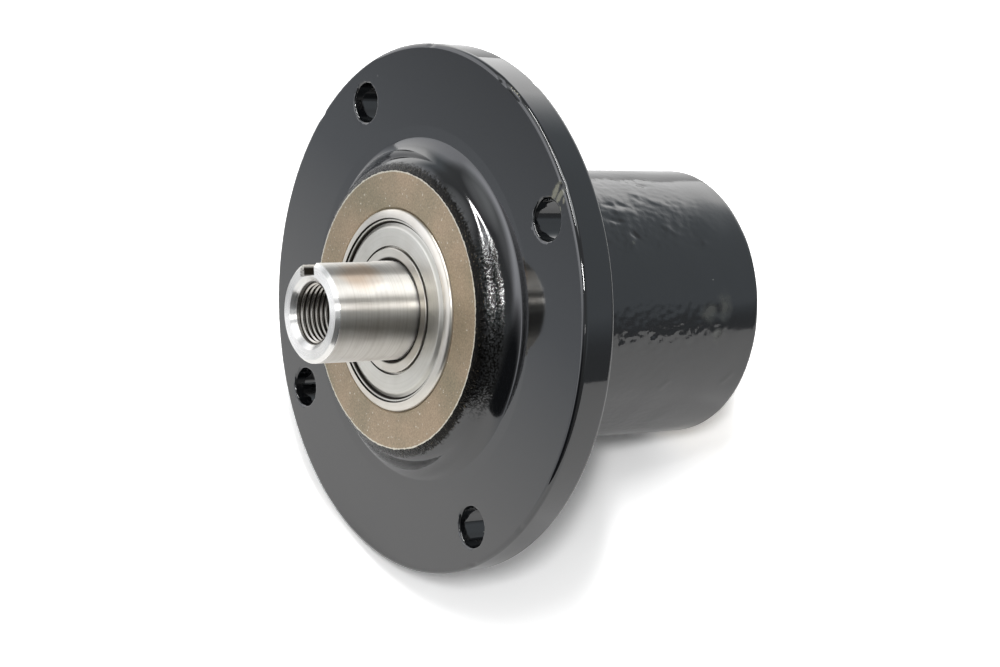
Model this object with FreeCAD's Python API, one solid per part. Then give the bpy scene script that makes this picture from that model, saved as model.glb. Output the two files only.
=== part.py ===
import FreeCAD, Part

import math
import os

# Mower deck spindle: a cast-iron housing with a round bolting flange, two shielded ball
# bearings, and a keyed shaft that carries the pulley above the deck and the blade below it.
# Millimetres. +Z runs along the shaft towards its keyed end. The origin is on the shaft's
# axis, in the flange's underside, which is the face that seats on the deck.

# Housing casting
flange_d = 136.5
flange_t = 9.5
flange_edge_r = 0.8
boss_face_d = 71.4
boss_h = 7.6
boss_shoulder_r = 7.5
boss_foot_r = 5.5
boss_cut_deg = 25.0
boss_wall_deg = 66.0
tube_d = 72.7
tube_len = 77.0
tube_end_r = 1.2
tube_root_r = 2.0
seat_shoulder_d = 44.0
seat_shoulder_w = 4.0
cavity_d = 56.0
seat_chamfer = 0.5

# Bolt holes in the flange
bolt_rim_inset = 9.5
bolt_hole_d = 10.3
bolt_hole_edge_r = 0.4
bolt_count = 4
first_bolt_deg = 45.0

# Bearings, one size at both ends
bearing_bore_d = 25.4
bearing_od = 52.0
bearing_w = 15.0
bearing_proud = 0.9
ring_corner_r = 1.0
bore_corner_r = 0.8
ball_d = 7.938
ball_count = 9
race_play = 0.05
race_conformity = 0.52
race_depth = 1.7

# Shields, pressed into the outer rings
rim_w = 2.5
rim_chamfer = 0.15
shield_t = 0.5
shield_sink = 0.35
shield_dish = 0.6
shield_dish_w = 1.65
shield_bead_w = 0.6
shield_bead_rise = 0.25
shield_groove_w = 0.3
shield_gap = 0.4
land_step = 1.1
land_extra = 0.5

# Riveted sheet cages
cage_t = 0.7
cage_side_gap = 0.55
pocket_play = 0.1
rivet_d = 1.2
rivet_head_d = 2.0
rivet_head_h = 0.4
rivet_play = 0.02

# Shaft
pulley_stub_len = 24.25
shaft_chamfer = 0.9
relief_w = 1.0
relief_depth = 0.25
collar_d = 31.0
collar_len = 5.0
collar_chamfer = 0.5
blade_stub_len = 8.0
thread_d = 15.875
thread_mouth_d = 18.5
thread_depth = 36.0
drill_point_deg = 118.0
keyway_w = 6.35
keyway_floor_h = 9.25
keyway_len = 19.0
keyway_deg = 27.1

# Spacer tube between the inner rings
spacer_od = 31.0
spacer_play = 0.1

# Levels and radii that follow from the sizes above
flange_top = flange_t
boss_face = flange_top + boss_h
tube_end = -tube_len
bolt_circle_r = flange_d / 2 - bolt_rim_inset
upper_face = boss_face + bearing_proud
upper_mid = upper_face - bearing_w / 2
lower_face = tube_end - bearing_proud
lower_mid = lower_face + bearing_w / 2
shaft_r = bearing_bore_d / 2
seat_r = bearing_od / 2
ball_r = ball_d / 2
pitch_r = (shaft_r + seat_r) / 2
shaft_top = upper_face + pulley_stub_len
collar_end = lower_face - collar_len
shaft_bottom = collar_end - blade_stub_len

origin = FreeCAD.Vector(0, 0, 0)
z_axis = FreeCAD.Vector(0, 0, 1)
full_turn = 360.0


def at(r, z):
    """A point of a half section: r from the axis, z along it."""
    return FreeCAD.Vector(r, 0, z)


def turned(points):
    """Solid turned about Z from a closed half section. An arc is written as its middle and its end."""
    edges = []
    here = at(*points[0])
    for step in points[1:] + points[:1]:
        if isinstance(step[0], tuple):
            via = at(*step[0])
            there = at(*step[1])
            edges.append(Part.Arc(here, via, there).toShape())
        else:
            there = at(*step)
            edges.append(Part.LineSegment(here, there).toShape())
        here = there
    return Part.Face(Part.Wire(edges)).revolve(origin, z_axis, full_turn)


def round_corner(centre, radius, middle_deg, end):
    """Quarter round about a centre that passes through the given direction to its end."""
    angle = math.radians(middle_deg)
    via = (centre[0] + radius * math.cos(angle), centre[1] + radius * math.sin(angle))
    return (via, end)


def on_circle(radius, degrees, z=0.0):
    angle = math.radians(degrees)
    return FreeCAD.Vector(radius * math.cos(angle), radius * math.sin(angle), z)


def steps(count):
    """Evenly spaced angles in degrees for a pattern of count copies."""
    return [full_turn * number / count for number in range(count)]


# Housing

def boss_flank():
    """Cast flank of the boss: a shoulder cut off by the machined face, a short wall and a foot."""
    cut = math.radians(boss_cut_deg)
    wall = math.radians(boss_wall_deg)
    shoulder_drop = math.cos(cut) - math.cos(wall)
    foot_drop = 1 - math.cos(wall)
    share = min(1.0, boss_h / (boss_shoulder_r * shoulder_drop + boss_foot_r * foot_drop))
    shoulder = boss_shoulder_r * share
    foot = boss_foot_r * share
    wall_drop = boss_h - shoulder * shoulder_drop - foot * foot_drop
    half = (cut + wall) / 2
    r = boss_face_d / 2
    centre = (r - shoulder * math.sin(cut), boss_face - shoulder * math.cos(cut))
    shoulder_via = (centre[0] + shoulder * math.sin(half), centre[1] + shoulder * math.cos(half))
    shoulder_end = (centre[0] + shoulder * math.sin(wall), centre[1] + shoulder * math.cos(wall))
    wall_end = (shoulder_end[0] + wall_drop / math.tan(wall), shoulder_end[1] - wall_drop)
    foot_centre = (wall_end[0] + foot * math.sin(wall), flange_top + foot)
    foot_via = (
        foot_centre[0] - foot * math.sin(wall / 2),
        foot_centre[1] - foot * math.cos(wall / 2),
    )
    path = [(shoulder_via, shoulder_end)]
    if wall_drop > 0.01:
        path.append(wall_end)
    path.append((foot_via, (foot_centre[0], flange_top)))
    return path


def bolt_hole_tool():
    """Round hole through the flange with softly rounded mouths, as the paint leaves them."""
    r = bolt_hole_d / 2
    edge = bolt_hole_edge_r
    over = flange_t / 2
    return turned([
        (0, -over),
        (r + edge, -over),
        (r + edge, 0),
        round_corner((r + edge, edge), edge, 225, (r, edge)),
        (r, flange_top - edge),
        round_corner((r + edge, flange_top - edge), edge, 135, (r + edge, flange_top)),
        (r + edge, flange_top + over),
        (0, flange_top + over),
    ])


def housing():
    flange_r = flange_d / 2
    tube_r = tube_d / 2
    shoulder_r = seat_shoulder_d / 2
    cavity_r = cavity_d / 2
    slope = cavity_r - shoulder_r
    lower_shoulder = lower_mid + bearing_w / 2
    upper_shoulder = upper_mid - bearing_w / 2
    edge = min(flange_edge_r, flange_t / 3)
    body = turned([
        (seat_r + seat_chamfer, boss_face),
        (boss_face_d / 2, boss_face),
    ] + boss_flank() + [
        (flange_r - edge, flange_top),
        round_corner((flange_r - edge, flange_top - edge), edge, 45, (flange_r, flange_top - edge)),
        (flange_r, edge),
        round_corner((flange_r - edge, edge), edge, -45, (flange_r - edge, 0)),
        (tube_r + tube_root_r, 0),
        round_corner((tube_r + tube_root_r, -tube_root_r), tube_root_r, 135, (tube_r, -tube_root_r)),
        (tube_r, tube_end + tube_end_r),
        round_corner(
            (tube_r - tube_end_r, tube_end + tube_end_r), tube_end_r, -45, (tube_r - tube_end_r, tube_end)
        ),
        (seat_r + seat_chamfer, tube_end),
        (seat_r, tube_end + seat_chamfer),
        (seat_r, lower_shoulder),
        (shoulder_r, lower_shoulder),
        (shoulder_r, lower_shoulder + seat_shoulder_w),
        (cavity_r, lower_shoulder + seat_shoulder_w + slope),
        (cavity_r, upper_shoulder - seat_shoulder_w - slope),
        (shoulder_r, upper_shoulder - seat_shoulder_w),
        (shoulder_r, upper_shoulder),
        (seat_r, upper_shoulder),
        (seat_r, boss_face - seat_chamfer),
    ])
    for degrees in steps(bolt_count):
        hole = bolt_hole_tool()
        hole.translate(on_circle(bolt_circle_r, first_bolt_deg + degrees))
        body = body.cut(hole)
    return body


# Bearings. Each piece is made about the origin with the outside of the bearing upwards.

half_w = bearing_w / 2
rim_r = seat_r - rim_w
outer_race_r = pitch_r + ball_r + race_play
inner_race_r = pitch_r - ball_r - race_play
outer_shoulder_r = outer_race_r - race_depth
inner_shoulder_r = inner_race_r + race_depth
land_r = inner_shoulder_r - land_step
race_groove_r = race_conformity * ball_d
shield_seat_depth = shield_sink + shield_dish + shield_t
land_depth = shield_sink + shield_t + land_extra
half_step = full_turn / ball_count / 2


def outer_ring():
    corner = ring_corner_r
    recess = half_w - shield_seat_depth
    groove_r = outer_race_r - race_groove_r
    groove_half = math.sqrt(race_groove_r ** 2 - (outer_shoulder_r - groove_r) ** 2)
    return turned([
        (rim_r + rim_chamfer, half_w),
        (seat_r - corner, half_w),
        round_corner((seat_r - corner, half_w - corner), corner, 45, (seat_r, half_w - corner)),
        (seat_r, -half_w + corner),
        round_corner((seat_r - corner, -half_w + corner), corner, -45, (seat_r - corner, -half_w)),
        (rim_r + rim_chamfer, -half_w),
        (rim_r, -half_w + rim_chamfer),
        (rim_r, -recess),
        (outer_shoulder_r, -recess),
        (outer_shoulder_r, -groove_half),
        ((outer_race_r, 0), (outer_shoulder_r, groove_half)),
        (outer_shoulder_r, recess),
        (rim_r, recess),
        (rim_r, half_w - rim_chamfer),
    ])


def inner_ring():
    corner = bore_corner_r
    land = half_w - land_depth
    groove_r = inner_race_r + race_groove_r
    groove_half = math.sqrt(race_groove_r ** 2 - (groove_r - inner_shoulder_r) ** 2)
    return turned([
        (land_r - rim_chamfer, half_w),
        (land_r, half_w - rim_chamfer),
        (land_r, land),
        (inner_shoulder_r, land),
        (inner_shoulder_r, groove_half),
        ((inner_race_r, 0), (inner_shoulder_r, -groove_half)),
        (inner_shoulder_r, -land),
        (land_r, -land),
        (land_r, -half_w + rim_chamfer),
        (land_r - rim_chamfer, -half_w),
        (shaft_r + corner, -half_w),
        round_corner((shaft_r + corner, -half_w + corner), corner, 225, (shaft_r, -half_w + corner)),
        (shaft_r, half_w - corner),
        round_corner((shaft_r + corner, half_w - corner), corner, 135, (shaft_r + corner, half_w)),
    ])


def shield():
    """Pressed sheet ring: a curled bead in the outer ring's rim, a groove, a dished flank and a flat."""
    face = half_w - shield_sink
    inner_r = land_r + shield_gap
    bead_r = rim_r - shield_bead_w
    groove_r = bead_r - shield_groove_w
    flat_r = groove_r - shield_dish_w
    floor = face - shield_dish
    shoulder = face - shield_bead_rise / 2
    return turned([
        (inner_r, face - shield_t),
        (inner_r, face),
        (flat_r, face),
        (groove_r, floor),
        (bead_r, shoulder),
        ((rim_r - shield_bead_w / 2, face + shield_bead_rise / 2), (rim_r, shoulder)),
        (rim_r, floor - shield_t),
        (groove_r, floor - shield_t),
        (flat_r, face - shield_t),
    ])


def ball():
    return Part.makeSphere(ball_r)


def cage_half():
    """Upper half of the sheet cage: a flat ring between the shoulders with a cup over each ball."""
    inner_r = inner_shoulder_r + cage_side_gap
    outer_r = outer_shoulder_r - cage_side_gap
    pocket_r = ball_r + pocket_play
    cup_r = pocket_r + cage_t
    tabs = Part.makeCylinder(outer_r, cage_t)
    band = Part.makeCylinder(outer_r, cup_r + cage_t).cut(Part.makeCylinder(inner_r, cup_r + cage_t))
    cups = [Part.makeSphere(cup_r, on_circle(pitch_r, degrees)) for degrees in steps(ball_count)]
    pockets = [Part.makeSphere(pocket_r, on_circle(pitch_r, degrees)) for degrees in steps(ball_count)]
    rivet_holes = [
        Part.makeCylinder(rivet_d / 2 + rivet_play, cage_t, on_circle(pitch_r, degrees + half_step))
        for degrees in steps(ball_count)
    ]
    return tabs.fuse(cups).common(band).cut(pockets).cut(rivet_holes)


def rivets():
    """One rivet between every two balls, headed on both outer faces of the cage."""
    shank = rivet_d / 2
    head = rivet_head_d / 2
    top = cage_t + rivet_head_h
    rivet = turned([
        (0, top),
        (head - rivet_head_h / 2, top),
        (head, cage_t),
        (shank, cage_t),
        (shank, -cage_t),
        (head, -cage_t),
        (head - rivet_head_h / 2, -top),
        (0, -top),
    ])
    copies = []
    for degrees in steps(ball_count):
        copy = rivet.copy()
        copy.translate(on_circle(pitch_r, degrees + half_step))
        copies.append(copy)
    return Part.makeCompound(copies)


def upside_down(shape):
    return shape.mirror(origin, z_axis)


def bearing(name, mid, outside_up):
    """All the pieces of one bearing, by node name, set at the height of its middle."""
    pieces = {
        "outer_ring": outer_ring(),
        "inner_ring": inner_ring(),
        "outside_shield": shield(),
        "inside_shield": upside_down(shield()),
        "cage_outside": cage_half(),
        "cage_inside": upside_down(cage_half()),
        "cage_rivets": rivets(),
    }
    for number, degrees in enumerate(steps(ball_count), start=1):
        piece = ball()
        piece.translate(on_circle(pitch_r, degrees))
        pieces["ball_%d" % number] = piece
    placed = {}
    for part_name, shape in pieces.items():
        if not outside_up:
            shape = upside_down(shape)
        shape.translate(FreeCAD.Vector(0, 0, mid))
        placed["%s_%s" % (name, part_name)] = shape
    return placed


# Shaft and spacer

def tapped_hole():
    """Blind tapped hole, mouth at z = 0 and bottom below it, cut to the thread's full diameter."""
    r = thread_d / 2
    mouth_r = thread_mouth_d / 2
    point = r / math.tan(math.radians(drill_point_deg / 2))
    over = mouth_r - r
    return turned([
        (0, over),
        (mouth_r, over),
        (mouth_r, 0),
        (r, r - mouth_r),
        (r, -thread_depth),
        (0, -thread_depth - point),
    ])


def keyway_tool():
    """Straight keyway from the keyed end, closed by the round of its cutter."""
    straight = keyway_len - keyway_w / 2
    depth = shaft_r
    slot = Part.makeBox(depth, keyway_w, straight + keyway_w)
    slot.translate(FreeCAD.Vector(keyway_floor_h, -keyway_w / 2, shaft_top - straight))
    end = Part.makeCylinder(keyway_w / 2, depth, at(keyway_floor_h, shaft_top - straight), FreeCAD.Vector(1, 0, 0))
    return slot.fuse(end).removeSplitter()


def spindle_shaft():
    """Turned shaft, set with its keyway at keyway_deg. A grinding relief parts the upper journal
    from the pulley seat."""
    collar_r = collar_d / 2
    body = turned([
        (0, shaft_top),
        (shaft_r - shaft_chamfer, shaft_top),
        (shaft_r, shaft_top - shaft_chamfer),
        (shaft_r, upper_face),
        (shaft_r - relief_depth, upper_face),
        (shaft_r - relief_depth, upper_face - relief_w),
        (shaft_r, upper_face - relief_w),
        (shaft_r, lower_face),
        (collar_r - collar_chamfer, lower_face),
        (collar_r, lower_face - collar_chamfer),
        (collar_r, collar_end + collar_chamfer),
        (collar_r - collar_chamfer, collar_end),
        (shaft_r, collar_end),
        (shaft_r, shaft_bottom + shaft_chamfer),
        (shaft_r - shaft_chamfer, shaft_bottom),
        (0, shaft_bottom),
    ])
    upper_hole = tapped_hole()
    upper_hole.translate(FreeCAD.Vector(0, 0, shaft_top))
    lower_hole = upside_down(tapped_hole())
    lower_hole.translate(FreeCAD.Vector(0, 0, shaft_bottom))
    shaft = body.cut(upper_hole).cut(lower_hole).cut(keyway_tool())
    shaft.rotate(origin, z_axis, keyway_deg)
    return shaft


def bearing_spacer():
    """Plain tube that keeps the inner rings apart when the blade bolt is tightened."""
    low = lower_mid + half_w
    high = upper_mid - half_w
    inner_r = shaft_r + spacer_play
    outer_r = spacer_od / 2
    return turned([(inner_r, low), (outer_r, low), (outer_r, high), (inner_r, high)])


nodes = {
    "housing": housing(),
    "spindle_shaft": spindle_shaft(),
    "bearing_spacer": bearing_spacer(),
}
nodes.update(bearing("upper", upper_mid, True))
nodes.update(bearing("lower", lower_mid, False))

os.makedirs("parts", exist_ok=True)
for node, shape in nodes.items():
    shape.exportStep("parts/%s.step" % node)
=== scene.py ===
import math

import bpy
from mathutils import Matrix, Vector


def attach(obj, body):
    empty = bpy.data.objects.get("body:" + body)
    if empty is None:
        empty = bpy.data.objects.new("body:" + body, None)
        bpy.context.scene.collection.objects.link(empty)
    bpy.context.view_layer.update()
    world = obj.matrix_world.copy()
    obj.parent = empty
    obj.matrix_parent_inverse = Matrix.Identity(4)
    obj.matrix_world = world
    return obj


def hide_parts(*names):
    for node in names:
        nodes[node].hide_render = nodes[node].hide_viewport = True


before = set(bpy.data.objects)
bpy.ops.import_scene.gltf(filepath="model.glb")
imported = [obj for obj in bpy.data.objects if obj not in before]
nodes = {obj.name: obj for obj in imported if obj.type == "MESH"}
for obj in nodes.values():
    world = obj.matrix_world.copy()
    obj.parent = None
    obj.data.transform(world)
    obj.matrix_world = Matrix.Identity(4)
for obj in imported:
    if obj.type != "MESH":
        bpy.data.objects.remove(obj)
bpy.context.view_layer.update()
mm = 0.001


# Housing: one grey-iron sand casting with a round bolting flange, a boss and a tubular body.
# It is cast with stock on its ends, dipped in gloss black enamel, then faced and bored bare, so
# that the enamel ends at the cut edges. The deck bolts go through its four holes.

flange_r = 68.25
flange_t = 9.5
flange_edge_r = 1.1
boss_face_z = 17.1
boss_face_r = 35.7
boss_shoulder_r = 8.5
boss_foot_r = 8.5
boss_foot_deg = 20.0
boss_dip = 0.09
boss_dip_r = 47.3
boss_cut_deg = 25.0
boss_wall_deg = 61.5
coarse_side_deg = -73.0
tube_r = 36.35
tube_root_r = 2.0
tube_end_z = -77.0
tube_end_r = 1.2
facing_stock = 1.5
around = 432
weld = 0.001


def colour(code):
    """An sRGB hex value as the linear colour that a shader takes."""
    channels = [int(code[i:i + 2], 16) / 255 for i in (1, 3, 5)]
    return [c / 12.92 if c <= 0.04045 else ((c + 0.055) / 1.055) ** 2.4 for c in channels] + [1.0]


def put(tree, kind, *values, inputs=None, output=0, **settings):
    """Adds a node with its settings and gives one of its outputs. Values go to its first inputs in turn, and
    inputs names others. Each is a plain value, a hex colour or a socket to link."""
    made = tree.nodes.new("ShaderNode" + kind)
    for name, value in settings.items():
        setattr(made, name, value)
    for key, value in [*enumerate(values), *(inputs or {}).items()]:
        if isinstance(value, bpy.types.NodeSocket):
            tree.links.new(value, made.inputs[key])
        else:
            made.inputs[key].default_value = colour(value) if isinstance(value, str) else value
    return made.outputs[output] if made.outputs else None


def new_material(name):
    material = bpy.data.materials.new(name)
    material.use_nodes = True
    material.node_tree.nodes.clear()
    return material, material.node_tree


def about(tree, place):
    """The distance from the axis and the height, of a point in a shader."""
    flat = put(tree, "VectorMath", place, (1, 1, 0), operation="MULTIPLY")
    radius = put(tree, "VectorMath", flat, operation="LENGTH", output="Value")
    return radius, put(tree, "SeparateXYZ", place, output="Z")


def spots(tree, place, marks, ragged, soft=0.1):
    """How much a point lies in one of the marks. Each is an ellipsoid: the angle, radius and height of its
    centre, its turn about Z from the radius, and its half sizes along the radius, around and along Z."""
    total = 0.0
    for angle, radius, z, turned, sizes in marks:
        x, y = (radius * trig(math.radians(angle)) * mm for trig in (math.cos, math.sin))
        inside = put(tree, "Mapping", place, vector_type="TEXTURE", inputs={
            "Location": (x, y, z * mm), "Rotation": (0, 0, math.radians(angle + turned)),
            "Scale": [size * mm for size in sizes],
        })
        reach = put(tree, "VectorMath", inside, operation="LENGTH", output="Value")
        reach = put(tree, "Math", reach, ragged, operation="ADD")
        mark = put(tree, "MapRange", reach, 1 + soft, 1 - soft)
        total = put(tree, "Math", total, mark, operation="MAXIMUM")
    return total


def arc(centre, radius, start_deg, end_deg, count):
    """Points of an arc in the half section, its angles measured from the axis direction."""
    points = []
    for i in range(count + 1):
        angle = math.radians(start_deg + (end_deg - start_deg) * i / count)
        points.append((centre[0] + radius * math.sin(angle), centre[1] + radius * math.cos(angle)))
    return points


def run(start, end, count):
    """Evenly spaced points from start to end, without its ends."""
    return [
        (start[0] + (end[0] - start[0]) * i / count, start[1] + (end[1] - start[1]) * i / count)
        for i in range(1, count)
    ]


def draw(name, outline):
    """A closed outline in the half section, drawn point by point in mm. It stays in edit mode, selected."""
    bpy.ops.object.select_all(action="DESELECT")
    bpy.ops.mesh.primitive_plane_add(size=mm)
    piece = bpy.context.object
    piece.name = piece.data.name = name
    bpy.ops.object.mode_set(mode="EDIT")
    bpy.ops.mesh.select_mode(type="VERT")
    bpy.ops.mesh.select_all(action="SELECT")
    bpy.ops.mesh.merge(type="CENTER")
    r, z = outline[0]
    bpy.ops.transform.translate(value=(r * mm, 0, z * mm))
    for next_r, next_z in outline[1:] + outline[:1]:
        bpy.ops.mesh.extrude_region_move(
            TRANSFORM_OT_translate={"value": ((next_r - r) * mm, 0, (next_z - z) * mm)}
        )
        r, z = next_r, next_z
    bpy.ops.mesh.select_all(action="SELECT")
    bpy.ops.mesh.remove_doubles(threshold=weld * mm)
    bpy.ops.mesh.select_all(action="SELECT")
    return piece


def turn(name, outline, steps):
    """A closed solid turned about Z from its half section."""
    piece = draw(name, outline)
    bpy.ops.mesh.spin(steps=steps, angle=math.tau, center=(0, 0, 0), axis=(0, 0, 1))
    bpy.ops.mesh.select_all(action="SELECT")
    bpy.ops.mesh.remove_doubles(threshold=weld * mm)
    bpy.ops.mesh.normals_make_consistent(inside=False)
    bpy.ops.object.mode_set(mode="OBJECT")
    return piece


def apply_modifier(piece, kind, **settings):
    bpy.context.view_layer.objects.active = piece
    modifier = piece.modifiers.new(kind.lower(), kind)
    for name, value in settings.items():
        setattr(modifier, name, value)
    bpy.ops.object.modifier_apply(modifier=modifier.name)


def smooth(piece, angle):
    bpy.ops.object.select_all(action="DESELECT")
    piece.select_set(True)
    bpy.context.view_layer.objects.active = piece
    bpy.ops.object.shade_smooth_by_angle(angle=math.radians(angle))


shoulder_cut = math.radians(boss_cut_deg)
wall = math.radians(boss_wall_deg)
shoulder_centre = (
    boss_face_r - boss_shoulder_r * math.sin(shoulder_cut),
    boss_face_z - boss_shoulder_r * math.cos(shoulder_cut),
)
shoulder = arc(shoulder_centre, boss_shoulder_r, 0, boss_wall_deg, 26)
foot_centre_z = flange_t - boss_dip + boss_foot_r * math.cos(math.radians(boss_foot_deg))
foot_start_z = foot_centre_z - boss_foot_r * math.cos(wall)
wall_drop = shoulder[-1][1] - foot_start_z
foot_start_r = shoulder[-1][0] + wall_drop / math.tan(wall)
foot_centre = (foot_start_r + boss_foot_r * math.sin(wall), foot_centre_z)
foot = arc(foot_centre, boss_foot_r, 180 + boss_wall_deg, 180 + boss_foot_deg, 18)
rim_top = arc((flange_r - flange_edge_r, flange_t - flange_edge_r), flange_edge_r, 0, 90, 5)
rim_bottom = arc((flange_r - flange_edge_r, flange_edge_r), flange_edge_r, 90, 180, 5)
root = arc((tube_r + tube_root_r, -tube_root_r), tube_root_r, 0, -90, 6)
body_end = arc((tube_r - tube_end_r, tube_end_z + tube_end_r), tube_end_r, 90, 180, 5)
beside = 0.12
chip_reach = 0.6
rim_flat_r = rim_top[0][0] - chip_reach
dip_beside = boss_dip * beside / (boss_dip_r - foot[-1][0])

housing = turn("housing_casting", [
    (0, shoulder[0][1]),
] + shoulder + foot + [
    (foot[-1][0] + beside, foot[-1][1] + dip_beside),
] + run(foot[-1], (boss_dip_r, flange_t), 4) + [
    (boss_dip_r - beside, flange_t - dip_beside),
    (boss_dip_r, flange_t),
    (boss_dip_r + beside, flange_t),
] + run((boss_dip_r, flange_t), (rim_flat_r, flange_t), 4) + [
    (rim_flat_r, flange_t),
    (rim_top[0][0] - beside, flange_t),
] + rim_top + [
    (flange_r, rim_top[-1][1] - beside),
    (flange_r, rim_top[-1][1] - chip_reach),
    (flange_r, rim_bottom[0][1] + chip_reach),
    (flange_r, rim_bottom[0][1] + beside),
] + rim_bottom + [
    (rim_bottom[-1][0] - beside, 0),
    (rim_flat_r, 0),
] + run((rim_flat_r, 0), (tube_r, 0), 4) + [
    (root[0][0] + beside, 0),
] + root + run(root[-1], body_end[0], 98) + body_end + [
    (body_end[-1][0] - beside, tube_end_z - facing_stock),
    (0, tube_end_z - facing_stock),
], around)


def weigh(piece, name, weight):
    """A vertex group whose weight follows from a point's radius and height in mm and its angle in degrees."""
    least = 0.001
    group = piece.vertex_groups.new(name=name)
    for vertex in piece.data.vertices:
        x, y, z = vertex.co / mm
        value = weight(math.hypot(x, y), z, math.degrees(math.atan2(y, x)))
        if value > least:
            group.add([vertex.index], min(value, 1.0), "REPLACE")


def fade(value, start, end):
    """0 at start and beyond, 1 at end and beyond, smooth between."""
    share = min(max((value - start) / (end - start), 0.0), 1.0)
    return share * share * (3 - 2 * share)


def raise_by(piece, group, height, grain=None, depth=0):
    """Moves a group's points along their normals by height in mm, all alike or by a cloud of that grain in mm."""
    settings = {"vertex_group": group, "strength": height * mm, "mid_level": 0.0}
    if grain:
        lumps = bpy.data.textures.new(group, "CLOUDS")
        lumps.noise_scale = grain * mm
        lumps.noise_depth = depth
        settings.update(texture=lumps, texture_coords="LOCAL", mid_level=0.5)
    apply_modifier(piece, "DISPLACE", **settings)


def near(marks, angle, z, radius):
    """How strongly a point of a round wall belongs to marks, each a line from one angle and height to another
    and its width."""
    total = 0.0
    for angle_1, z_1, angle_2, z_2, width in marks:
        across = math.radians(radius)
        ax, ay = (angle - angle_1) * across, z - z_1
        bx, by = (angle_2 - angle_1) * across, z_2 - z_1
        length = bx * bx + by * by
        along = min(max((ax * bx + ay * by) / length, 0.0), 1.0) if length else 0.0
        distance = math.hypot(ax - bx * along, ay - by * along)
        if distance < 3 * width:
            total += math.exp(-(distance / width) ** 2)
    return total


tube_lumps = [
    (-18.0, -49.5, -20.0, -53.0, 1.0),
    (-32.4, -49.0, -37.4, -52.6, 0.7),
    (-40.3, -36.5, -43.0, -36.0, 0.8),
    (-40.8, -60.7, -41.5, -61.2, 0.8),
    (-24.5, -36.0, -25.5, -41.0, 1.1),
    (-13.0, -45.0, -14.0, -47.0, 1.1),
    (-79.0, -61.0, -80.0, -63.8, 0.8),
    (-103.0, -69.5, -99.0, -71.5, 0.7),
    (-104.0, -48.0, -101.0, -49.5, 0.7),
]
tube_pits = [
    (-20.7, -33.0, -20.8, -35.0, 0.8),
    (-20.9, -37.4, -21.5, -39.0, 0.8),
    (-29.0, -32.0, -30.0, -35.0, 0.8),
    (-6.6, -51.0, -7.5, -52.5, 0.8),
    (-36.0, -37.4, -37.5, -38.0, 0.8),
    (-79.6, -62.6, -79.9, -62.7, 0.7),
    (-79.2, -39.8, -79.3, -40.1, 0.6),
    (-70.0, -60.0, -71.0, -64.0, 1.6),
]
rim_chips = [
    (-9.5, 9.4, -11.0, 9.4, 0.5),
    (-13.0, 9.4, -18.0, 9.4, 0.45),
    (16.0, 9.4, 16.8, 9.4, 0.5),
    (-12.1, 0.2, -12.8, 0.2, 0.6),
    (-39.9, 9.4, -40.9, 9.4, 0.5),
    (-118.0, 9.4, -119.0, 9.4, 0.4),
    (-137.0, 9.4, -138.0, 9.4, 0.4),
    (62.0, 9.4, 63.5, 9.4, 0.5),
]
body_r = tube_r + 1
boss_side_r = 41
rim_r = rim_top[1][0] - 0.01
weigh(housing, "waves", lambda r, z, angle: fade(z, -2, -6) if r < body_r else 0.0)
weigh(housing, "knobs", lambda r, z, angle: fade(z, -2, -4) * fade(z, -72, -50) * max(
    0.2, 0.6 * fade(abs(angle + 25), 30, 15), fade(abs(angle + 76), 14, 8)
) if r < body_r else 0.0)
weigh(housing, "grains", lambda r, z, angle: max(
    fade(z, 15.4, 15.9), 0.4 * fade(z, 11.4, 12.4) * fade(abs(angle - coarse_side_deg), 38, 27)
) if r < boss_side_r else 0.0)
weigh(housing, "lumps", lambda r, z, angle: near(tube_lumps, angle, z, tube_r) if r < body_r else 0.0)
weigh(housing, "pits", lambda r, z, angle: near(tube_pits, angle, z, tube_r) if r < body_r else 0.0)
weigh(housing, "chips", lambda r, z, angle: near(rim_chips, angle, z, flange_r) if r > rim_r else 0.0)
raise_by(housing, "waves", 0.12, grain=8.0)
raise_by(housing, "knobs", 0.28, grain=1.3, depth=1)
raise_by(housing, "grains", 0.22, grain=0.8, depth=1)
raise_by(housing, "lumps", 0.1)
raise_by(housing, "pits", -0.2)
raise_by(housing, "chips", -0.35)


enamel, tree = new_material("gloss_black_enamel_on_cast_iron")
# Air-dried gloss enamel over sand-cast iron: near black and mirror-like on the machined flange, with
# orange peel that breaks up reflections on the body. On the boss it lies thin on coarse sand grain,
# and where it has chipped it shows the dull beige primer.
boss_area_r = 44
place = put(tree, "TexCoord", output="Object")
radius, height = about(tree, place)
grain = put(tree, "TexNoise", place, inputs={"Scale": 1 / (0.42 * mm), "Detail": 3.0})
peel = put(tree, "TexNoise", place, inputs={"Scale": 1 / (1.4 * mm)})
ragged = put(tree, "TexNoise", place, inputs={"Scale": 1 / (0.7 * mm), "Detail": 3.0})
ragged = put(tree, "MapRange", ragged, 0.3, 0.7, -0.5, 0.5)
level = put(tree, "Math", ragged, 0.9 * mm, height, operation="MULTIPLY_ADD")
edge_band = put(tree, "MapRange", level, 15.5 * mm, 16.1 * mm)
coarse_side = math.radians(coarse_side_deg)
coarse_way = (math.cos(coarse_side), math.sin(coarse_side), 0)
facing = put(tree, "VectorMath", place, coarse_way, operation="DOT_PRODUCT", output="Value")
facing = put(tree, "Math", facing, radius, operation="DIVIDE")
rough_side = put(tree, "MapRange", facing, 0.79, 0.90)
above_foot = put(tree, "MapRange", level, 11.6 * mm, 12.4 * mm)
rough_side = put(tree, "Math", rough_side, above_foot, operation="MULTIPLY")
on_boss = put(tree, "Math", radius, boss_area_r * mm, operation="LESS_THAN")
on_front = put(tree, "Math", height, 0.0, operation="GREATER_THAN")
on_boss = put(tree, "Math", on_boss, on_front, operation="MULTIPLY")
rough_cast = put(tree, "Math", edge_band, rough_side, operation="MAXIMUM")
rough_cast = put(tree, "Math", on_boss, rough_cast, operation="MULTIPLY")
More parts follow.
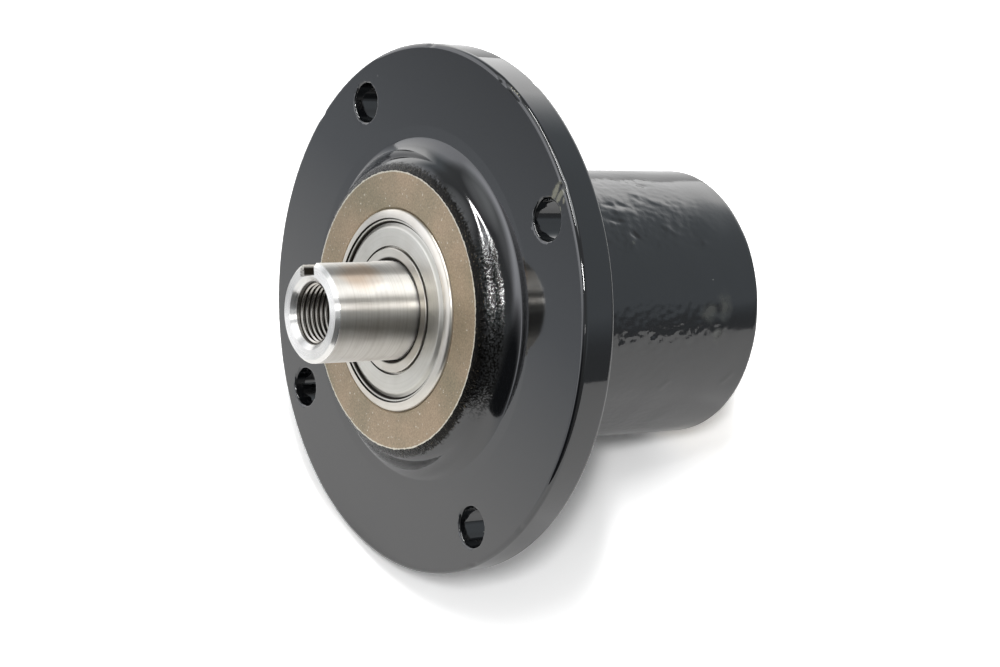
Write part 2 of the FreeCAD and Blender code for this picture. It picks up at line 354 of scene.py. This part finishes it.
on_tube = put(tree, "Math", height, -0.5 * mm, operation="LESS_THAN")
worn = spots(tree, place, [
    (-15.0, flange_r - 0.2, flange_t, 0, (0.45, 3.0, 0.6)),
    (-10.2, flange_r - 0.1, flange_t, 0, (0.4, 1.2, 0.6)),
    (16.3, flange_r, flange_t, 0, (0.5, 0.9, 0.6)),
    (-12.4, flange_r, 0.2, 0, (0.5, 0.9, 0.7)),
], ragged)
chipped = spots(tree, place, [
    (-40.7, 64.7, flange_t, 27, (2.5, 0.8, 1.5)),
    (-42.2, 65.8, flange_t, 22, (2.0, 0.75, 1.5)),
    (-43.6, 66.5, flange_t, 60, (0.8, 0.35, 1.5)),
    (-44.6, 64.6, flange_t, 80, (0.7, 0.2, 1.5)),
], put(tree, "Math", ragged, 0.4, operation="MULTIPLY"), soft=0.3)
chipped = put(tree, "Math", chipped, 0.55, operation="MULTIPLY")
worn = put(tree, "Math", worn, chipped, operation="MAXIMUM")
drift = put(tree, "TexNoise", place, inputs={"Scale": 1 / (2.5 * mm), "Detail": 3.0})
thin = spots(tree, place, [
    (-70.5, tube_r, -59.4, 0, (2.5, 2.0, 2.2)),
    (-68.6, tube_r, -64.6, 0, (2.5, 2.6, 1.8)),
    (-80.3, tube_r, -62.7, 0, (2.0, 1.3, 1.2)),
    (-40.3, tube_r, -36.4, 0, (2.0, 0.5, 0.5)),
], put(tree, "MapRange", drift, 0.3, 0.7, -0.5, 0.5), soft=0.7)
dust = put(tree, "TexVoronoi", place, inputs={"Scale": 1 / (5 * mm)}).node.outputs
dusty = put(tree, "Math", dust["Distance"], 0.035, operation="LESS_THAN")
chosen = put(tree, "SeparateColor", dust["Color"])
chosen = put(tree, "Math", chosen, 0.9, operation="GREATER_THAN")
dusty = put(tree, "Math", dusty, chosen, operation="MULTIPLY")
# Near-black, barely mirroring finish on the coarse grain and the rough band at the cut edge: dark casting dirt,
# and painted shade for the shade among the grains.
matt = put(tree, "TexNoise", place, inputs={"Scale": 1 / (0.5 * mm), "Detail": 3.0})
matt = put(tree, "MapRange", matt, 0.54, 0.46)
matt = put(tree, "Math", matt, edge_band, operation="MAXIMUM")
matt = put(tree, "Math", rough_cast, matt, operation="MULTIPLY")
sandy = put(tree, "Math", on_boss, edge_band, operation="MULTIPLY")
sandy = put(tree, "Math", sandy, put(tree, "MapRange", grain, 0.62, 0.74), operation="MULTIPLY")
base = "#0b0c0e"
for share, code in (
    (matt, "#12110f"),
    (sandy, "#6e6452"),
    (dusty, "#8a8c88"),
    (put(tree, "Math", thin, 0.3, operation="MULTIPLY"), "#565850"),
    (worn, "#93917c"),
):
    base = put(tree, "Mix", share, inputs={6: base, 7: code}, output=2, data_type="RGBA")
gloss = put(tree, "TexNoise", place, inputs={"Scale": 1 / (9 * mm)})
gloss = put(tree, "MapRange", gloss, 0.3, 0.7, 0.03, 0.06)
for share, duller in (
    (on_tube, 0.05),
    (on_boss, 0.03),
    (rough_cast, 0.1),
    (put(tree, "Math", worn, thin, operation="MAXIMUM"), 0.25),
):
    gloss = put(tree, "Math", share, duller, gloss, operation="MULTIPLY_ADD")
peel_depth = put(tree, "MapRange", height, -66 * mm, -45 * mm, 0.25, 1.0)
peel_depth = put(tree, "Math", on_tube, peel_depth, operation="MULTIPLY")
grain_depth = put(tree, "MapRange", edge_band, 0.0, 1.0, 0.4, 1.0)
grain_depth = put(tree, "Math", rough_cast, grain_depth, operation="MULTIPLY")
bumps = put(tree, "Bump", inputs={"Height": peel, "Distance": 0.0025 * mm})
bumps = put(tree, "Bump", inputs={
    "Height": peel, "Distance": 0.035 * mm, "Strength": peel_depth, "Normal": bumps,
})
bumps = put(tree, "Bump", inputs={
    "Height": grain, "Distance": 0.16 * mm, "Strength": grain_depth, "Normal": bumps,
})
put(tree, "OutputMaterial", put(tree, "BsdfPrincipled", inputs={
    "Base Color": base, "Metallic": put(tree, "Math", matt, 0.9, operation="MULTIPLY"),
    "Roughness": gloss, "IOR": 1.75, "Normal": bumps,
}))

faced_iron, tree = new_material("faced_grey_iron_under_rust_preventive")
# Faced grey cast iron under a dried tan rust-preventive: satin, mottled from olive to tan, with sandy
# grain, faint circular tool marks and small bare specks that glint. The specks and a thin burr round the face's
# outer edge are mixed to near white: bare iron, and painted highlight for their glints and the bright edge.
burr_w = 0.1
place = put(tree, "TexCoord", output="Object")
radius, height = about(tree, place)
speck = put(tree, "TexNoise", place, inputs={"Scale": 1 / (0.5 * mm), "Detail": 3.0})
tool_marks = put(tree, "CombineXYZ", inputs={0: radius, 2: height})
tool_marks = put(tree, "TexNoise", tool_marks, inputs={"Scale": 1 / (0.6 * mm)})
tan = put(tree, "TexNoise", place, inputs={"Scale": 1 / (16 * mm)})
tan = put(tree, "MapRange", tan, 0.35, 0.65)
tan = put(tree, "Mix", tan, inputs={6: "#8c816a", 7: "#a28f77"}, output=2, data_type="RGBA")
sandy = put(tree, "MapRange", speck, 0.3, 0.7, 0.78, 1.18)
tan = put(tree, "VectorMath", tan, sandy, operation="MULTIPLY")
# Painted highlight, partly bare iron: specks and the edge burr are mixed to near white.
bare_specks_and_painted_glint = put(tree, "TexNoise", place, inputs={"Scale": 1 / (0.7 * mm), "Detail": 4.0})
bare_specks_and_painted_glint = put(tree, "MapRange", bare_specks_and_painted_glint, 0.66, 0.74)
burr_and_painted_edge_highlight = put(tree, "Math", speck, 0.6 * mm, radius, operation="MULTIPLY_ADD")
burr_and_painted_edge_highlight = put(tree, "MapRange", burr_and_painted_edge_highlight, (boss_face_r - burr_w) * mm, boss_face_r * mm)
burr_and_painted_edge_highlight = put(tree, "Math", burr_and_painted_edge_highlight, 0.8, operation="MULTIPLY")
bare_specks_and_painted_glint = put(tree, "Math", bare_specks_and_painted_glint, burr_and_painted_edge_highlight, operation="MAXIMUM")
tan = put(tree, "Mix", bare_specks_and_painted_glint, inputs={6: tan, 7: "#dcd8ca"}, output=2, data_type="RGBA")
bumps = put(tree, "Bump", inputs={"Height": speck, "Distance": 0.02 * mm})
bumps = put(tree, "Bump", inputs={"Height": tool_marks, "Distance": 0.004 * mm, "Normal": bumps})
put(tree, "OutputMaterial", put(tree, "BsdfPrincipled", inputs={
    "Base Color": tan, "Metallic": 0.5,
    "Roughness": put(tree, "MapRange", bare_specks_and_painted_glint, 0.0, 1.0, 0.45, 0.28), "Normal": bumps,
    "Anisotropic": 0.6, "Anisotropic Rotation": 0.25,
    "Tangent": put(tree, "Tangent", direction_type="RADIAL", axis="Z"),
}))

# The facing and boring cuts: both ends and the bearing seats, in one setting.
face_reach = 52.0
above_it = 25
below_it = -85
seat_r = 26.0
seat_chamfer = 0.5
seat_stop_r = 22.0
cavity_r = 28.0
upper_stop_z = 3.0
lower_stop_z = -62.9
stop_w = 4.0
slope = cavity_r - seat_stop_r
boring = turn("boring_cut", [
    (0, above_it),
    (face_reach, above_it),
    (face_reach, boss_face_z),
    (seat_r + seat_chamfer, boss_face_z),
    (seat_r, boss_face_z - seat_chamfer),
    (seat_r, upper_stop_z),
    (seat_stop_r, upper_stop_z),
    (seat_stop_r, upper_stop_z - stop_w),
    (cavity_r, upper_stop_z - stop_w - slope),
    (cavity_r, lower_stop_z + stop_w + slope),
    (seat_stop_r, lower_stop_z + stop_w),
    (seat_stop_r, lower_stop_z),
    (seat_r, lower_stop_z),
    (seat_r, tube_end_z + seat_chamfer),
    (seat_r + seat_chamfer, tube_end_z),
    (face_reach, tube_end_z),
    (face_reach, below_it),
    (0, below_it),
], 216)
boring.data.materials.append(faced_iron)

# The four bolt holes, drilled before the enamel, which rounds their mouths unevenly.
bolt_circle_r = 58.75
bolt_hole_r = 5.15
bolt_hole_edge_r = 0.7
mouth_r = bolt_hole_r + bolt_hole_edge_r
bolt_hole = turn("bolt_hole_cut", [
    (0, -flange_t / 2),
    (mouth_r, -flange_t / 2),
] + arc((mouth_r, bolt_hole_edge_r), bolt_hole_edge_r, 180, 270, 5) + arc(
    (mouth_r, flange_t - bolt_hole_edge_r), bolt_hole_edge_r, 270, 360, 5
) + [
    (mouth_r, flange_t * 1.5),
    (0, flange_t * 1.5),
], 64)
bolt_hole.data.materials.append(enamel)
weigh(bolt_hole, "mouth", lambda r, z, angle: 1.0 if r > 1 and 0 <= z <= flange_t else 0.0)
bpy.ops.object.select_all(action="DESELECT")
for deg in (45, 135, 225, 315):
    cut = bolt_hole.copy()
    cut.data = bolt_hole.data.copy()
    cut.name = cut.data.name = "bolt_hole_%d" % deg
    bpy.context.collection.objects.link(cut)
    x = bolt_circle_r * math.cos(math.radians(deg)) * mm
    y = bolt_circle_r * math.sin(math.radians(deg)) * mm
    cut.data.transform(Matrix.Translation((x, y, 0)))
    raise_by(cut, "mouth", 0.2, grain=1.5)
    cut.select_set(True)
bpy.data.objects.remove(bolt_hole)
boring.select_set(True)
bpy.context.view_layer.objects.active = boring
bpy.ops.object.join()

# The cut leaves slivers along its edges, which are welded away.
housing.data.materials.append(enamel)
apply_modifier(
    housing, "BOOLEAN", object=boring, operation="DIFFERENCE", solver="EXACT", material_mode="TRANSFER"
)
bpy.data.objects.remove(boring)
bpy.ops.object.mode_set(mode="EDIT")
bpy.ops.mesh.select_all(action="SELECT")
bpy.ops.mesh.remove_doubles(threshold=weld * mm)
bpy.ops.mesh.select_all(action="SELECT")
bpy.ops.mesh.dissolve_degenerate(threshold=weld / 10 * mm)
bpy.ops.object.mode_set(mode="OBJECT")
smooth(housing, 38)
apply_modifier(housing, "WEIGHTED_NORMAL", keep_sharp=True)
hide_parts("housing")
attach(housing, "housing")


# Bearings: two shielded deep-groove ball bearings, pressed into the seats. Rings and balls are
# through-hardened chrome steel, ground and honed. Cages are pressed from steel sheet.


def bare_steel(
    name, code, roughness, lines, depth, stain, stained,
    grain=0.0, oil_and_painted_shade=(), tint=None, scratched=0.0, faced_ends=None,
):
    """Bare steel with fine lines around its axis from turning or grinding, lines mm apart and depth mm deep,
    which draw highlights out across them as far as grain says. A slow stain changes its tone, and a tint does
    in marks. Scratches slant across it, scratched mm deep. At the radii given for darkening, each with its
    half width, it is darker and rougher: partly oil, partly painted shade in the gaps, grooves and hollows
    there. The ends at two heights may be freshly faced, bright and clean."""
    metal, tree = new_material(name)
    place = put(tree, "TexCoord", output="Object")
    radius, height = about(tree, place)
    rings = put(tree, "CombineXYZ", inputs={0: radius, 2: height})
    rings = put(tree, "TexNoise", rings, inputs={"Scale": 1 / (lines * mm)})
    drift = put(tree, "TexNoise", place, inputs={"Scale": 1 / (7 * mm), "Detail": 3.0})
    tone = code
    for share in (
        put(tree, "MapRange", drift, 0.4, 0.75, 0.0, stained),
        put(tree, "MapRange", rings, 0.45, 0.7, 0.0, 0.2),
    ):
        tone = put(tree, "Mix", share, inputs={6: tone, 7: stain}, output=2, data_type="RGBA")
    dull = put(tree, "MapRange", rings, 0.3, 0.7, roughness * 0.85, roughness * 1.15)
    bumps = put(tree, "Bump", inputs={"Height": rings, "Distance": depth * mm})
    if tint:
        tint_code, marks = tint
        ragged = put(tree, "MapRange", drift, 0.3, 0.7, -0.5, 0.5)
        tinted = put(tree, "Math", spots(tree, place, marks, ragged, soft=0.5), 0.6, operation="MULTIPLY")
        tone = put(tree, "Mix", tinted, inputs={6: tone, 7: tint_code}, output=2, data_type="RGBA")
    if scratched:
        slanted = put(tree, "Mapping", place, inputs={"Rotation": (0.6, 0.3, 0.2), "Scale": (1, 1, 0.06)})
        scratches = put(tree, "TexNoise", slanted, inputs={"Scale": 1 / (0.22 * mm)})
        bumps = put(tree, "Bump", inputs={
            "Height": scratches, "Distance": scratched * mm, "Normal": bumps,
        })
    clean = 0.0
    if faced_ends:
        middle, half = (faced_ends[1] + faced_ends[0]) / 2, (faced_ends[1] - faced_ends[0]) / 2
        off_middle = put(tree, "Math", height, middle * mm, operation="SUBTRACT")
        off_middle = put(tree, "Math", off_middle, operation="ABSOLUTE")
        clean = put(tree, "Math", off_middle, (half - 1.1) * mm, operation="GREATER_THAN")
        fresh = put(tree, "MapRange", off_middle, (half - 1.4) * mm, (half - 1.0) * mm)
        tone = put(tree, "Mix", fresh, inputs={6: tone, 7: "#e0deda"}, output=2, data_type="RGBA")
        finer = put(tree, "MapRange", fresh, 0.0, 1.0, 1.0, 0.7)
        dull = put(tree, "Math", dull, finer, operation="MULTIPLY")
    # Dark rings at these radii, rougher too and kept off freshly faced ends: oil, and painted shade in the gaps,
    # grooves and hollows there.
    for darkened_r, half_w in oil_and_painted_shade:
        away = put(tree, "Math", radius, darkened_r * mm, operation="SUBTRACT")
        away = put(tree, "Math", away, operation="ABSOLUTE")
        oil_and_shade = put(tree, "MapRange", away, half_w * mm, half_w * 0.5 * mm)
        open_to_darkening = put(tree, "Math", 1.0, clean, operation="SUBTRACT")
        oil_and_shade = put(tree, "Math", oil_and_shade, open_to_darkening, operation="MULTIPLY")
        tone = put(tree, "Mix", oil_and_shade, inputs={6: tone, 7: "#2b2722"}, output=2, data_type="RGBA")
        dull = put(tree, "Math", oil_and_shade, 0.3, dull, operation="MULTIPLY_ADD")
    put(tree, "OutputMaterial", put(tree, "BsdfPrincipled", inputs={
        "Base Color": tone, "Metallic": 1.0, "Roughness": dull, "Normal": bumps,
        "Anisotropic": grain, "Anisotropic Rotation": 0.25,
        "Tangent": put(tree, "Tangent", direction_type="RADIAL", axis="Z"),
    }))
    return metal


# The inner ring is darkened at its bore corner and the outer ring at its lip: painted shade of the chamfer and
# the seam, with some oil.
ring_steel = bare_steel(
    "ground_chrome_bearing_steel", "#c8c4bc", 0.32, 0.3, 0.0006, "#aca597", 0.4,
    grain=0.6, oil_and_painted_shade=((13.1, 0.75), (23.5, 0.2)),
)
ball_steel = bare_steel("lapped_chrome_bearing_steel", "#dadad8", 0.05, 2.0, 0.0001, "#dadad8", 0.0)
cage_steel = bare_steel("pressed_low_carbon_sheet_steel", "#a8a5a0", 0.35, 0.8, 0.001, "#7c766c", 0.6)
ring_r = 26.0
ring_half_w = 7.5
ring_rim_r = 23.5
ring_lip = 0.15
ring_dome_r = 6.0
ring_dome_centre_r = 23.2
ring_dome_start_deg = 4.3
ring_dome_deg = 20.8
ring_corner_r = 1.0
shield_seat_z = 6.05
ring_shoulder_r = 21.669
race_centre_r = 19.241
race_r = 4.128
race_deg = 36.04
dome_drop = ring_dome_r * math.cos(math.radians(ring_dome_start_deg))
dome_centre = (ring_dome_centre_r, ring_half_w - dome_drop)
corner_rise = (ring_dome_r - ring_corner_r) * math.cos(math.radians(ring_dome_deg))
corner_centre = (ring_r - ring_corner_r, dome_centre[1] + corner_rise)
ring_dome = arc(dome_centre, ring_dome_r, ring_dome_start_deg, ring_dome_deg, 5)
ring_corner = arc(corner_centre, ring_corner_r, ring_dome_deg, 90, 6)
ring_half = [
    (ring_shoulder_r, shield_seat_z),
    (ring_rim_r, shield_seat_z),
    (ring_rim_r, ring_half_w - ring_lip),
] + ring_dome + ring_corner[1:]
ring_outline = ring_half + [(r, -z) for r, z in reversed(ring_half)] + arc(
    (race_centre_r, 0), race_r, 180 - race_deg, race_deg, 12
)
for end, middle_z in (("upper", 10.5), ("lower", -70.4)):
    ring = turn(end + "_ring", [(r, z + middle_z) for r, z in ring_outline], 216)
    smooth(ring, 35)
    ring.data.materials.append(ring_steel)
    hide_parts(end + "_outer_ring")
    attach(ring, "housing")
    nodes[end + "_inner_ring"].material_slots[0].material = ring_steel
    for part in ("cage_outside", "cage_inside", "cage_rivets"):
        nodes["%s_%s" % (end, part)].material_slots[0].material = cage_steel
    for number in range(1, 10):
        nodes["%s_ball_%d" % (end, number)].material_slots[0].material = ball_steel


# Shields: rings pressed from thin steel sheet. Each has a flat, a rounded flank that falls to a
# groove, and a curled bead that snaps into the outer ring. A gap parts it from the inner ring.

shield_bore_r = 16.45
shield_flat_r = 20.9
shield_groove_r = 22.55
shield_groove_w = 0.12
shield_bead_r = 23.15
shield_rim_r = 23.55
shield_t = 0.5
shield_edge = 0.1
shield_sink = 0.35
shield_dip = 0.85
bead_r = 0.32
under_dip = 0.2
upper_bearing_z = 18.0
lower_bearing_z = -77.9
flank_steps = 8
flank = []
for i in range(flank_steps + 1):
    r = shield_flat_r + (shield_groove_r - shield_flat_r) * i / flank_steps
    flank.append((r, -shield_dip * (1 - math.cos(math.pi * i / flank_steps)) / 2))
shield_outline = [
    (shield_bore_r, -shield_t),
    (shield_bore_r, -shield_edge),
    (shield_bore_r + shield_edge, 0),
] + flank + [
    (shield_groove_r + shield_groove_w, -shield_dip),
] + arc((shield_bead_r, -bead_r), bead_r, -100, 100, 10) + [
    (shield_rim_r, -shield_dip),
    (shield_rim_r, -shield_dip - under_dip),
    (shield_flat_r + 0.7, -shield_dip - under_dip),
    (shield_flat_r - 0.3, -shield_t),
]
# The shield is darkened at its bore, in its groove and at its rim: painted shade of the gap, the groove and the
# seam, with some oil.
shield_steel = bare_steel(
    "pressed_and_tumbled_sheet_steel", "#bebcb5", 0.40, 0.5, 0.0008, "#a39f95", 0.4,
    grain=0.4, oil_and_painted_shade=((16.45, 0.12), (22.6, 0.4), (23.6, 0.16)),
)
for end, face_z, outward in (("upper", upper_bearing_z, 1), ("lower", lower_bearing_z, -1)):
    shield = turn(end + "_shield", [
        (r, face_z + outward * (z - shield_sink)) for r, z in shield_outline
    ], 180)
    smooth(shield, 35)
    shield.data.materials.append(shield_steel)
    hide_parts(end + "_outside_shield")
    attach(shield, "housing")
    nodes[end + "_inside_shield"].material_slots[0].material = shield_steel


# Bearing spacer: a plain tube sawn from drawn steel. The shaft passes through it, and it holds the
# inner rings apart.

drawn_steel = bare_steel("sawn_drawn_steel_tube", "#b0ada8", 0.3, 0.4, 0.002, "#7e766a", 0.5)
nodes["bearing_spacer"].material_slots[0].material = drawn_steel


# Spindle shaft: turned from steel bar, ground on the journals, keyed and tapped at the pulley end,
# and tapped at the blade end. It is pressed through the inner rings and turns with them.

upper_mouth_z = 42.25
lower_mouth_z = -90.9
# The shaft is darkened in its tapped holes and its keyway: painted shade in these recesses, with some oil.
shaft_steel = bare_steel(
    "turned_and_ground_carbon_steel", "#d8d5cf", 0.42, 0.4, 0.0015, "#93887c", 0.3, grain=1.0,
    oil_and_painted_shade=((7.7, 0.35), (11.1, 1.4)), scratched=0.002, faced_ends=(lower_mouth_z, upper_mouth_z),
    tint=("#c2a68b", [(-20, 12.7, 34, 0, (3, 3.8, 4.4)), (-12, 12.7, 30, 0, (3, 2.8, 3.0))]),
)
nodes["spindle_shaft"].material_slots[0].material = shaft_steel

# The threads: the ridges that a tap leaves in the two end holes.
thread_pitch = 1.411
thread_major_r = 7.9375
thread_minor_r = 7.25
thread_root_share = 0.46
thread_crest_share = 0.07
thread_sunk = 0.05
thread_turns = 23
thread_steps = 48
thread_lead_in = 1.7
# The thread is darkened at its roots by the wall: painted shade deep in the thread, with some oil.
tapped_steel = bare_steel(
    "tapped_carbon_steel", "#c4c0b9", 0.22, 0.3, 0.0005, "#8f867a", 0.4, oil_and_painted_shade=((7.9, 0.4),)
)


def cut_thread(name, top_z):
    """One ridge drawn at the wall and screwed down the hole from top_z."""
    flank_w = thread_pitch * thread_root_share
    crest_w = thread_pitch * thread_crest_share
    piece = draw(name, [
        (thread_major_r + thread_sunk, top_z + flank_w),
        (thread_minor_r, top_z + crest_w),
        (thread_minor_r, top_z - crest_w),
        (thread_major_r + thread_sunk, top_z - flank_w),
    ])
    bpy.ops.object.mode_set(mode="OBJECT")
    apply_modifier(
        piece, "SCREW", axis="Z", angle=-math.tau, screw_offset=-thread_pitch * mm,
        iterations=thread_turns, steps=thread_steps, render_steps=thread_steps, use_merge_vertices=False,
    )
    bpy.ops.object.mode_set(mode="EDIT")
    bpy.ops.mesh.select_mode(type="EDGE")
    bpy.ops.mesh.select_all(action="DESELECT")
    bpy.ops.mesh.select_non_manifold()
    bpy.ops.mesh.fill()
    bpy.ops.mesh.select_all(action="SELECT")
    bpy.ops.mesh.normals_make_consistent(inside=False)
    bpy.ops.object.mode_set(mode="OBJECT")
    smooth(piece, 20)
    piece.data.materials.append(tapped_steel)
    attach(piece, "spindle")


cut_thread("upper_thread", upper_mouth_z - thread_lead_in)
cut_thread("lower_thread", lower_mouth_z + thread_lead_in + thread_pitch * thread_turns)


# Bench, light and camera. The spindle lies on its flange rim and the end of its body, so the bench
# leans in the spindle's own frame. Up, right and onward are the bench's directions.

up = Vector((0.90524, -0.18518, 0.38242)).normalized()
camera_at = Vector((205.99, -446.906, 355.108)) * mm
camera_aim = Vector((-2.889, -10.443, -10.807)) * mm
looking = (camera_aim - camera_at).normalized()
right = looking.cross(up).normalized()
onward = up.cross(right)
bench_drop = 62.85 * mm

bench_left, bench_right, bench_front, bench_back = -1.2, 0.4, -0.25, 0.8
bpy.ops.object.select_all(action="DESELECT")
bpy.ops.mesh.primitive_plane_add(size=1)
bench = bpy.context.object
bench.name = bench.data.name = "bench"
turn_to_bench = Matrix((right, onward, up)).transposed().to_4x4()
bench_middle = right * (bench_left + bench_right) / 2 + onward * (bench_front + bench_back) / 2
bench.data.transform(
    Matrix.Translation(bench_middle - up * bench_drop)
    @ turn_to_bench
    @ Matrix.Diagonal((bench_right - bench_left, bench_back - bench_front, 1, 1))
)
white_bench, tree = new_material("matt_white_laminate")
# Matt white laminate. To the camera it is brighter than to the object, as in a picture exposed for
# a black object: the bench clips to white and keeps only the deeper shadow. In mirror images it is
# brightest just left of the object and dims far to the left. From below the camera looks through it.
lighting = (0.8, 0.8, 0.8, 1)
mirrored_right = (1.05, 1.05, 1.05, 1)
mirrored_near = (1.2, 1.2, 1.2, 1)
mirrored_left = (0.76, 0.8, 0.86, 1)
seen = (1.75, 1.75, 1.75, 1)
path = put(tree, "LightPath").node.outputs
place = put(tree, "TexCoord", output="Object")
to_left = put(tree, "VectorMath", place, -right, operation="DOT_PRODUCT", output="Value")
near_side = put(tree, "MapRange", to_left, -0.03, 0.05)
shade = put(tree, "Mix", near_side, inputs={6: mirrored_right, 7: mirrored_near}, output=2, data_type="RGBA")
dimmed = put(tree, "MapRange", to_left, 0.12, 0.42)
shade = put(tree, "Mix", dimmed, inputs={6: shade, 7: mirrored_left}, output=2, data_type="RGBA")
shade = put(tree, "Mix", path["Is Glossy Ray"], inputs={6: lighting, 7: shade}, output=2, data_type="RGBA")
shade = put(tree, "Mix", path["Is Camera Ray"], inputs={6: shade, 7: seen}, output=2, data_type="RGBA")
behind = put(tree, "NewGeometry", output="Backfacing")
behind = put(tree, "Math", behind, path["Is Camera Ray"], operation="MULTIPLY")
matt = put(tree, "BsdfDiffuse", shade)
put(tree, "OutputMaterial", put(tree, "MixShader", behind, matt, put(tree, "BsdfTransparent")))
bench.data.materials.append(white_bench)


def hang(name, across, along, width, length, radiance):
    """A light hung 1 m over the spindle, facing down. Across is metres to the right, and along is metres away
    from the eye."""
    lamp = bpy.data.lights.new(name, "AREA")
    lamp.shape = "RECTANGLE"
    lamp.size = width
    lamp.size_y = length
    lamp.energy = radiance * math.pi * width * length
    holder = bpy.data.objects.new(name, lamp)
    bpy.context.collection.objects.link(holder)
    holder.matrix_world = Matrix.Translation(right * across + onward * along + up) @ turn_to_bench


hang("ceiling_strip", 0.0, 0.10, 0.06, 1.0, 32)
hang("ceiling_strip_end", 0.0, -0.82, 0.075, 0.26, 105)
hang("front_strip", 0.0, -1.52, 0.15, 0.15, 8)

# The room as polished surfaces mirror it: a bluish wall, a white sweep behind the bench, a pale
# window to the left, grey and then dark behind the camera, and three soft diffusers overhead.
world = bpy.data.worlds.new("studio")
bpy.context.scene.world = world
world.use_nodes = True
tree = world.node_tree
tree.nodes.clear()
path = put(tree, "LightPath").node.outputs
direction = put(tree, "TexCoord", output="Generated")
rise, along, across, aside = (
    put(tree, "VectorMath", direction, axis, operation="DOT_PRODUCT", output="Value")
    for axis in (up, onward, right, right * -0.6 + onward * -0.8)
)
wall_tones = [
    (-0.10, "#84878a"), (-0.02, "#8a8e92"), (0.04, "#9ea5ab"), (0.12, "#bac2c9"), (0.47, "#b8c0c6"),
    (0.60, "#9da0a2"), (1.0, "#949698"),
]
room = put(tree, "ValToRGB", put(tree, "Math", rise, 0.5, 0.5, operation="MULTIPLY_ADD"))
stops = room.node.color_ramp.elements
while len(stops) < len(wall_tones):
    stops.new(1.0)
for stop, (rise_at, code) in zip(stops, wall_tones):
    stop.position = (rise_at + 1) / 2
    stop.color = colour(code)
shares = [
    put(
        tree, "Math", put(tree, "MapRange", reach, start, end), put(tree, "MapRange", rise, low, high),
        operation="MULTIPLY",
    )
    for reach, start, end, low, high in (
        (across, -0.4, -0.65, 0.7, 0.5),
        (along, 0.45, 0.85, 0.42, 0.22),
        (along, -0.45, -0.8, 0.6, 0.4),
        (aside, 0.82, 0.95, 0.6, 0.4),
    )
]
for share, code in zip(shares, ("#e4e6ec", "#ffffff", "#7c7e7e", "#2c2d2f")):
    room = put(tree, "Mix", share, inputs={6: room, 7: code}, output=2, data_type="RGBA")
window, sweep = shares[:2]
not_dark = put(tree, "MapRange", aside, 0.95, 0.82)
window = put(tree, "Math", window, not_dark, operation="MULTIPLY")
bright = put(tree, "Math", sweep, window, operation="MAXIMUM")
strength = put(tree, "MapRange", bright, 0.0, 1.0, 1.0, 2.1)
for ways, start, end, added in (
    ((-0.46, 0.2, 0.87), 0.93, 0.995, 2.0),
    ((-0.75, -0.1, 0.65), 0.86, 0.97, 1.5),
    ((0.37, 0.03, 0.93), 0.94, 0.975, 10.0),
):
    diffuser = right * ways[0] + onward * ways[1] + up * ways[2]
    toward = put(tree, "VectorMath", direction, diffuser, operation="DOT_PRODUCT", output="Value")
    toward = put(tree, "MapRange", toward, start, end, 0.0, added)
    strength = put(tree, "Math", strength, toward, operation="ADD")
room = put(tree, "Background", room, strength)
ambient = put(tree, "Background", "#ffffff", 0.4)
white = put(tree, "Background", "#ffffff", 1.0)
mirrored = put(tree, "Math", path["Is Glossy Ray"], path["Is Transmission Ray"], operation="MAXIMUM")
around_it = put(tree, "MixShader", mirrored, ambient, room)
put(tree, "OutputWorld", put(tree, "MixShader", path["Is Camera Ray"], around_it, white))

lens = bpy.data.cameras.new("camera")
lens.sensor_width = 36.0
lens.lens = 83.91
lens.clip_start = 0.01
lens.clip_end = 10.0
camera = bpy.data.objects.new("camera", lens)
bpy.context.collection.objects.link(camera)
camera.matrix_world = Matrix.Translation(camera_at) @ Matrix(
    (right, right.cross(looking), -looking)
).transposed().to_4x4()
bpy.context.scene.camera = camera
bpy.context.scene.view_settings.view_transform = "Standard"
